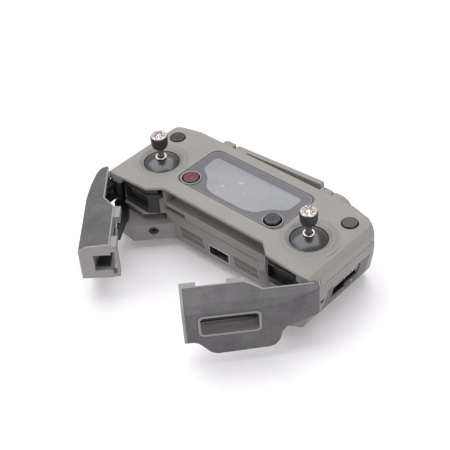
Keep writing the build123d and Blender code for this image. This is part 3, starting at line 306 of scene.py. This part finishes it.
def plate(mesh, outline, low, high):
    """Closed flat piece with this outline between two heights."""
    bottom = [mesh.verts.new((x, y, low)) for x, y in outline]
    top = [mesh.verts.new((x, y, high)) for x, y in outline]
    mesh.faces.new(bottom[::-1])
    mesh.faces.new(top)
    for k in range(len(outline)):
        n = (k + 1) % len(outline)
        mesh.faces.new((bottom[k], bottom[n], top[n], top[k]))


def band(mesh, outer, inner, low, high):
    """Closed flat ring between two outlines with as many points."""
    count = len(outer)
    rows = [[mesh.verts.new((x, y, z)) for x, y in line] for line, z in
            ((outer, low), (outer, high), (inner, high), (inner, low))]
    for first, second in zip(rows, rows[1:] + rows[:1]):
        for k in range(count):
            n = (k + 1) % count
            mesh.faces.new((first[k], first[n], second[n], second[k]))


def circle(x, y, r, count=48):
    """Points round a whole circle."""
    return [(x + r * cos(2 * pi * k / count), y + r * sin(2 * pi * k / count)) for k in range(count)]


def rounded(points, radius, steps=6):
    """Outline with each corner cut back and replaced by a small curve."""
    line = []
    for k, here in enumerate(points):
        here = Vector(here)
        before = Vector(points[k - 1]) - here
        after = Vector(points[(k + 1) % len(points)]) - here
        start = here + before.normalized() * min(radius, before.length * 0.48)
        end = here + after.normalized() * min(radius, after.length * 0.48)
        for step in range(steps + 1):
            t = step / steps
            line.append(tuple(start * (1 - t) ** 2 + here * 2 * t * (1 - t) + end * t ** 2))
    return line


def rectangle(x0, y0, x1, y1):
    return [(x0, y0), (x1, y0), (x1, y1), (x0, y1)]


def arc_band(mesh, x, y, r, width, low, high, start, sweep, count=40):
    """Part of a ring, closed at its ends."""
    angles = [start + sweep * k / count for k in range(count + 1)]
    outer = [(x + (r + width) * cos(a), y + (r + width) * sin(a)) for a in angles]
    inner = [(x + r * cos(a), y + r * sin(a)) for a in angles[::-1]]
    plate(mesh, outer + inner, low, high)


def middle(node):
    """Middle of a CAD node in x and y, then its lowest and highest z."""
    low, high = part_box(node)
    return (low[0] + high[0]) / 2, (low[1] + high[1]) / 2, low[2], high[2]


# ---- sticks --------------------------------------------------------------------------------------
# knurled rubber barrel, as shares of its radius and height
NECK = 0.36
WAIST = 0.40
BELLY = 0.46
BELLY_END = 0.34
TOP_GROWTH = 0.14
KNURL_DEPTH = 0.07 * MM
KNURLS = 16
KNURL_TURN = 9
TOP_EDGE = 0.93
TOP_SPAN = 0.07
TOP_CUT = 0.35 * MM
# disc under the petals, as radius and height over the barrel in millimetres
CROWN_DISC = ((0.0, 0.0), (4.35, 0.0), (4.4, 0.25), (4.3, 0.6), (3.9, 0.85), (1.9, 0.7), (1.1, 0.9),
              (0.75, 1.15), (0.0, 1.25))
PETALS = 8
# petal's inner end, length, half width there and its growth, in millimetres
PETAL_INNER = 1.35
PETAL_LONG = 2.6
PETAL_HALF = 0.34
PETAL_FLARE = 0.62
PETAL_FOOT = 0.45 * MM
PETAL_CREST = 0.7 * MM
# half of a petal across and its height, as shares
PETAL_SECTION = ((-1, 0), (-0.86, 0.6), (-0.45, 0.95), (0, 1.0), (0.45, 0.95), (0.86, 0.6), (1, 0))
COLLAR_RADIUS = 2.6 * MM
COLLAR_HALF = (0.72 * MM, 0.52 * MM)
COLLAR_RISE = 0.55 * MM


def stick_barrel(side, x, y, low, high):
    """Barrel that swells quickly over its neck, with crossed ribs."""
    reach = (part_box(side + "_stick_barrel")[1][0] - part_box(side + "_stick_barrel")[0][0]) / 2
    tall = high - low
    section = [(NECK * reach, low)]
    for k in range(33):
        t = k / 32
        belly = sqrt(max(0.0, 1 - (1 - min(t / BELLY_END, 1)) ** 2))
        r = reach * (WAIST + BELLY * belly) + (TOP_GROWTH * reach - KNURL_DEPTH) * t
        if t > TOP_EDGE:
            r -= TOP_CUT * (t - TOP_EDGE) / TOP_SPAN
        section.append((r, low + tall * t))
    section.append((NECK * reach, high))

    def knurl(a, z):
        """Crossed ribs that fade out at both ends."""
        share = (z - low) / tall
        fade = max(0.0, min(1.0, (share - 0.04) / 0.1, (0.94 - share) / 0.05))
        turn = KNURL_TURN * share
        return fade * KNURL_DEPTH * (abs(sin(KNURLS * a + turn)) * abs(sin(KNURLS * a - turn)) * 2 - 1)

    mesh = bmesh.new()
    lathe(mesh, section, 192, (x, y), knurl)
    barrel = finish_mesh(side + "_barrel_grip", mesh, black_rubber, side + "_stick", 60)
    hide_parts(side + "_stick_barrel")


def petal_rows(x, y, base, top, a):
    """Cross sections of one petal of the crown, from the middle out."""
    out = Vector((cos(a), sin(a), 0))
    across = Vector((-sin(a), cos(a), 0))
    floor_z = base + PETAL_FOOT
    rows = []
    for k in range(9):
        t = k / 8
        centre = Vector((x, y, 0)) + out * (PETAL_INNER + PETAL_LONG * t) * MM
        half = (PETAL_HALF + PETAL_FLARE * t) * MM * (1 - 0.55 * max(0, t - 0.75) / 0.25)
        arch = min(1.0, sin(pi * (0.12 + 0.78 * t)) * 1.05)
        crest = base + PETAL_CREST + (top - base - PETAL_CREST) * arch
        rows.append([tuple(centre + across * half * w + Vector((0, 0, floor_z + (crest - floor_z) * h)))
                     for w, h in PETAL_SECTION])
    return rows


def stick_crown(side, x, y, base):
    """Notched crown on the barrel, and the collar on the dome."""
    collar, top = (corner[2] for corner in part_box(side + "_stick_metal"))
    mesh = bmesh.new()
    lathe(mesh, [(r * MM, base + h * MM) for r, h in CROWN_DISC], 64, (x, y))
    last = len(PETAL_SECTION) - 1
    for petal in range(PETALS):
        rows = petal_rows(x, y, base, top, 2 * pi * (petal + 0.5) / PETALS)
        grid = [[mesh.verts.new(p) for p in row] for row in rows]
        for first, second in zip(grid, grid[1:]):
            for k in range(last):
                mesh.faces.new((first[k], first[k + 1], second[k + 1], second[k]))
            mesh.faces.new((first[last], first[0], second[0], second[last]))
        mesh.faces.new(grid[0])
        mesh.faces.new(grid[-1][::-1])
    tube = [(COLLAR_RADIUS + COLLAR_HALF[0] * cos(b), collar + COLLAR_RISE + COLLAR_HALF[1] * sin(b))
            for b in (2 * pi * k / 16 for k in range(17))]
    lathe(mesh, tube, 48, (x, y))
    crown = finish_mesh(side + "_crown_and_collar", mesh, bright_metal, side + "_stick", 40)
    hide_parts(side + "_stick_metal")


for side, sign in SIDES:
    x, y, low, high = middle(side + "_stick_barrel")
    stick_barrel(side, x, y, low, high)
    stick_crown(side, x, y, high)


# ---- keys on the top face ------------------------------------------------------------------------
mark_pale = moulded("mark_pale", (0.26, 0.26, 0.27), 0.5, wear=0.0, mottle=0.25)
mark_red = moulded("mark_red", (0.55, 0.085, 0.105), 0.35, wear=0.0, mottle=0.12, coat=0.3)
mark_white = moulded("mark_white", (0.62, 0.62, 0.64), 0.5, wear=0.0, mottle=0.12)
SKIN = 0.035 * MM       # thickness of printed marks
KEY_RADII = {"home_button": 4.4 * MM, "power_button": 4.4 * MM, "pause_button": 4.6 * MM}
KEY_TALL = 5 * MM
KEY_STEM = 0.55         # share of the key's radius
KEY_RIM = 0.75 * MM


def round_key(name, node, body, dish):
    """Turned key with its own stem, a rounded rim and a top dished by this depth."""
    x, y, low, high = middle(node)
    r = KEY_RADII[node]
    rim = KEY_RIM
    section = [(0.0, low), (r * KEY_STEM, low), (r * KEY_STEM, high - KEY_TALL), (r, high - KEY_TALL),
               (r, high - rim)]
    for k in range(1, 9):
        b = k / 8 * pi / 2
        section.append((r - rim * (1 - cos(b)), high - rim + rim * sin(b)))
    for k in range(1, 9):
        t = 1 - k / 8
        section.append(((r - rim) * t, high - dish * (1 - t * t)))
    mesh = bmesh.new()
    lathe(mesh, section, 72, (x, y))
    obj = finish_mesh(name, mesh, gloss_black, body, 40)
    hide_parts(node)
    return x, y, high - dish, obj


x, y, top, obj = round_key("home_key_top", "home_button", "home_key", 0.02 * MM)
mesh = bmesh.new()
arc_band(mesh, x, y, 1.3 * MM, 0.3 * MM, top, top + SKIN, start=0.6, sweep=1.55 * pi)
plate(mesh, rectangle(x - 0.2 * MM, y - 0.2 * MM, x + 1.5 * MM, y + 0.2 * MM), top, top + SKIN)
finish_mesh("home_mark", mesh, mark_pale, "home_key")
x, y, top, obj = round_key("power_key_top", "power_button", "power_key", 0.02 * MM)
mesh = bmesh.new()
arc_band(mesh, x, y, 1.35 * MM, 0.28 * MM, top, top + SKIN, start=pi / 2 + 0.5, sweep=2 * pi - 1.0)
plate(mesh, rectangle(x - 0.14 * MM, y + 0.3 * MM, x + 0.14 * MM, y + 1.9 * MM), top, top + SKIN)
finish_mesh("power_mark", mesh, mark_pale, "power_key")
x, y, top, obj = round_key("pause_key_top", "pause_button", "pause_key", 0.0)
mesh = bmesh.new()
band(mesh, circle(x, y, 3.6 * MM), circle(x, y, 2.7 * MM), top, top + SKIN)
for shift in (-0.85 * MM, 0.85 * MM):
    bar = rectangle(x + shift - 0.55 * MM, y - 1.9 * MM, x + shift + 0.55 * MM, y + 1.9 * MM)
    plate(mesh, rounded(bar, 0.3 * MM), top, top + SKIN)
finish_mesh("pause_mark", mesh, mark_red, "pause_key")

# five-way key: a fine grid of studs inside a smooth rim
x, y, low, high = middle("five_way_cap")
CAP_LIFT = 0.9 * MM     # studs end a little under this height over the CAD cap
CAP_RADIUS = 4.5 * MM
CAP_STEM = 1.2 * MM
CAP_RIM = (0.9 * MM, 0.75 * MM)
CAP_EDGE = 1.0 * MM
AROUND = 96
STUD_RINGS = 24
STUD_PITCH = 0.62 * MM
STUD_TALL = 0.24 * MM
STUD_FLOOR = 0.05 * MM
STUD_DEPTH = 0.26 * MM
high += CAP_LIFT
r = CAP_RADIUS
section = [(0.0, low), (CAP_STEM, low), (CAP_STEM, low + 2 * MM), (r, low + 2 * MM), (r, high - CAP_EDGE)]
for k in range(1, 8):
    b = k / 7 * pi / 2
    section.append((r - CAP_RIM[0] * (1 - cos(b)), high - CAP_EDGE + CAP_RIM[1] * sin(b)))
mesh = bmesh.new()
lathe(mesh, section, AROUND, (x, y))
reach = r - 0.85 * MM
rows = []
for k in range(STUD_RINGS + 1):
    radius = reach * (1 - k / STUD_RINGS)
    ring = []
    for n in range(AROUND):
        a = 2 * pi * n / AROUND
        px, py = radius * cos(a), radius * sin(a)
        stud = max(0.0, cos(px * 2 * pi / STUD_PITCH) * cos(py * 2 * pi / STUD_PITCH))
        edge = min(1.0, (reach - radius) / (0.4 * MM))
        rise = edge * (STUD_TALL * stud ** 0.7 - STUD_FLOOR)
        ring.append(mesh.verts.new((x + px, y + py, high - STUD_DEPTH + rise)))
    rows.append(ring)
for first, second in zip(rows, rows[1:]):
    for n in range(AROUND):
        after = (n + 1) % AROUND
        mesh.faces.new((first[n], first[after], second[after], second[n]))
obj = finish_mesh("five_way_key_top", mesh, gloss_black, "five_way_cap", 50)
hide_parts("five_way_cap")

# ---- window and screen ---------------------------------------------------------------------------
low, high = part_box("display_window")
face_z = high[2]
# right half of the screen's outline, in millimetres
SCREEN_HALF = ((30.4, 22.0), (29.9, 9.8), (22.8, 6.2), (17.2, -1.6), (11.0, -3.4))
SCREEN = [(-px, py) for px, py in SCREEN_HALF] + list(SCREEN_HALF[::-1])
mesh = bmesh.new()
plate(mesh, rounded([(px * MM, py * MM) for px, py in SCREEN], 3.2 * MM), face_z - 0.2 * MM, face_z + SKIN)
screen = finish_mesh("status_screen", mesh, screen_look, "housing", bevel=0.015 * MM)
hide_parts("lcd_panel")
rim_look = moulded("window_rim", (0.40, 0.41, 0.43), 0.25, wear=0.0, mottle=0.1)
WINDOW_CORNER = 7.5 * MM
LINE_DEPTH = 0.1 * MM


def inset_outline(inset):
    """Window's outline, moved in by a distance."""
    inner = rectangle(low[0] + inset, low[1] + inset, high[0] - inset, high[1] - inset)
    return rounded(inner, WINDOW_CORNER - inset, 10)


mesh = bmesh.new()
band(mesh, inset_outline(0.55 * MM), inset_outline(0.8 * MM), face_z - LINE_DEPTH, face_z + SKIN)
rim = finish_mesh("window_rim", mesh, rim_look, "housing")
# dark band round the window's outer edge: painted shade of the gap between window and housing
mesh = bmesh.new()
band(mesh, inset_outline(0.02 * MM), inset_outline(0.3 * MM), face_z - LINE_DEPTH, face_z + SKIN)
finish_mesh("window_gap_shade", mesh, black_plastic, "housing")

# ---- painted shade: dark sheets behind the vents and in the parting groove -----------------------
shade_look = moulded("shade", (0.008, 0.008, 0.009), 0.8, wear=0.0, specular=0.05)
PANEL_Y = -15.0 * MM
VENT_SHADE_SIZE = (18.2 * MM, 0.2 * MM, 7.7 * MM)
VENT_SHADE_Z = 13.4 * MM
SEAM_STRIP = (0.1 * MM, 38 * MM, 0.26 * MM)
SEAM_PLACE = (72.68 * MM, 7 * MM, 31.15 * MM)


def block(name, centre, size):
    """Dark strip of painted shade that rides on the housing."""
    mesh = bmesh.new()
    shape = Matrix.Translation(centre) @ Matrix.Diagonal((*size, 1))
    bmesh.ops.create_cube(mesh, size=1.0, matrix=shape)
    finish_mesh(name, mesh, shade_look, "housing")


# dark sheet behind the vent slits: painted shade standing in for the shadowed inside of the vents
for side, start_x in (("left", -26.3 * MM), ("right", 12.7 * MM)):
    block(side + "_vent_shade", (start_x + 9.1 * MM, PANEL_Y + 0.16 * MM, VENT_SHADE_Z), VENT_SHADE_SIZE)
for side, sign in SIDES:
    block(side + "_seam_shade", (sign * SEAM_PLACE[0], *SEAM_PLACE[1:]), SEAM_STRIP)

# faint smears of adhesive left on the window
smear_look = moulded("smear", (0.43, 0.43, 0.445), 0.4, 0.5 * MM, 0.002 * MM, edge=0.01 * MM, wear=0.0,
                     mottle=0.06, specular=0.3)
# middle and half size of each, in millimetres
SMEARS = ((-10.8, 5.1, 2.0, 1.7), (-4.4, 12.9, 2.7, 1.8), (0.9, 4.7, 1.1, 1.0), (3.4, 6.6, 1.3, 1.0))
for k, (px, py, half_x, half_y) in enumerate(SMEARS):
    mesh = bmesh.new()
    outline = []
    for n, (u, v) in enumerate(circle(0, 0, MM, 40)):
        a = 2 * pi * n / 40
        outline.append((px * MM + u * half_x * (1 + 0.12 * sin(3 * a + k)),
                        py * MM + v * half_y * (1 + 0.1 * cos(2 * a + k))))
    plate(mesh, outline, face_z, face_z + SKIN * 1.1)
    finish_mesh("window_smear_" + str(k), mesh, smear_look, "housing")

# ---- mode switch: pale dot on the slider and the position marks over the slot --------------------
low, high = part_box("mode_switch")
mesh = bmesh.new()
dot = [(0.0, -0.3 * MM), (0.55 * MM, -0.3 * MM), (0.5 * MM, 0.03 * MM), (0.3 * MM, 0.09 * MM),
       (0.0, 0.1 * MM)]
lathe(mesh, dot, 24, (0, 0))
face_middle = (high[0], (low[1] + high[1]) / 2, (low[2] + high[2]) / 2)
outward = Matrix.Translation(face_middle) @ Matrix.Rotation(pi / 2, 4, "Y")
bmesh.ops.transform(mesh, matrix=outward, verts=mesh.verts)
finish_mesh("switch_dot", mesh, mark_white, "mode_slider")
MARK_HALF = (0.2 * MM, 0.6 * MM)
MARK_X = 72.54 * MM
MARK_Z = 23.2 * MM
SIDE_LEAN = radians(97)
for k, place_y in enumerate((2.8, 6.1, 9.4)):
    mesh = bmesh.new()
    outline = rounded(rectangle(-MARK_HALF[0], -MARK_HALF[1], MARK_HALF[0], MARK_HALF[1]), 0.15 * MM)
    plate(mesh, outline, -0.3 * MM, SKIN)
    lean = Matrix.Rotation(SIDE_LEAN, 4, "Y") @ Matrix.Rotation(pi / 2, 4, "Z")
    place = Matrix.Translation((MARK_X, place_y * MM, MARK_Z))
    bmesh.ops.transform(mesh, matrix=place @ lean, verts=mesh.verts)
    finish_mesh("mode_mark_" + str(k), mesh, mark_white, "housing")

# ---- floor, lights and camera --------------------------------------------------------------------
floor_look = moulded("floor", (0.93, 0.92, 0.935), 0.7, 6 * MM, 0.0, wear=0.0, mottle=0.01, specular=0.1,
                     speckle=0.01)
floor_look.shader.inputs["Emission Color"].default_value = (1, 0.985, 1, 1)
floor_look.shader.inputs["Emission Strength"].default_value = 0.1
floor_mesh = bmesh.new()
bmesh.ops.create_grid(floor_mesh, x_segments=8, y_segments=8, size=6.0)
floor_data = bpy.data.meshes.new("floor")
floor_mesh.to_mesh(floor_data)
floor = bpy.data.objects.new("floor", floor_data)
bpy.context.collection.objects.link(floor)
paint(floor, floor_look)


def area_light(name, place, size, power):
    """Soft light that points at the origin."""
    data = bpy.data.lights.new(name, "AREA")
    data.shape = "RECTANGLE"
    data.size, data.size_y = size
    data.energy = power
    light = bpy.data.objects.new(name, data)
    light.location = place
    light.rotation_euler = (-Vector(place)).to_track_quat("-Z", "Y").to_euler()
    bpy.context.collection.objects.link(light)


area_light("light_top", place=(-0.3, 0.2, 0.95), size=(1.5, 1.3), power=13.0)
area_light("light_left", place=(-0.55, -0.85, 0.55), size=(0.5, 0.5), power=2.6)
area_light("light_right", place=(0.95, -0.25, 0.45), size=(0.5, 0.5), power=3.2)
world = bpy.data.worlds.new("world")
world.use_nodes = True
sky = world.node_tree.nodes["Background"]
sky.inputs["Color"].default_value = (1, 0.99, 1, 1)
sky.inputs["Strength"].default_value = 0.36
bpy.context.scene.world = world
bpy.context.scene.view_settings.view_transform = "Standard"

CAMERA_PLACE = Vector((0.3014, -0.3084, 0.3875))
CAMERA_AZIMUTH = radians(44.95)
CAMERA_ELEVATION = radians(40.3)
CAMERA_ROLL = radians(-4.35)
CAMERA_LENS = 83.96     # millimetres, on a sensor 36 mm wide
back = Vector((sin(CAMERA_AZIMUTH) * cos(CAMERA_ELEVATION), -cos(CAMERA_AZIMUTH) * cos(CAMERA_ELEVATION),
               sin(CAMERA_ELEVATION)))
right = Vector((0, 0, 1)).cross(back).normalized()
up = back.cross(right)
rolled_right = right * cos(CAMERA_ROLL) + up * sin(CAMERA_ROLL)
rolled_up = up * cos(CAMERA_ROLL) - right * sin(CAMERA_ROLL)
camera_data = bpy.data.cameras.new("camera")
camera_data.lens = CAMERA_LENS
camera_data.sensor_width = 36.0
camera_data.dof.use_dof = False
camera = bpy.data.objects.new("camera", camera_data)
turn = Matrix((rolled_right, rolled_up, back)).transposed().to_4x4()
camera.matrix_world = Matrix.Translation(CAMERA_PLACE) @ turn
bpy.context.collection.objects.link(camera)
bpy.context.scene.camera = camera
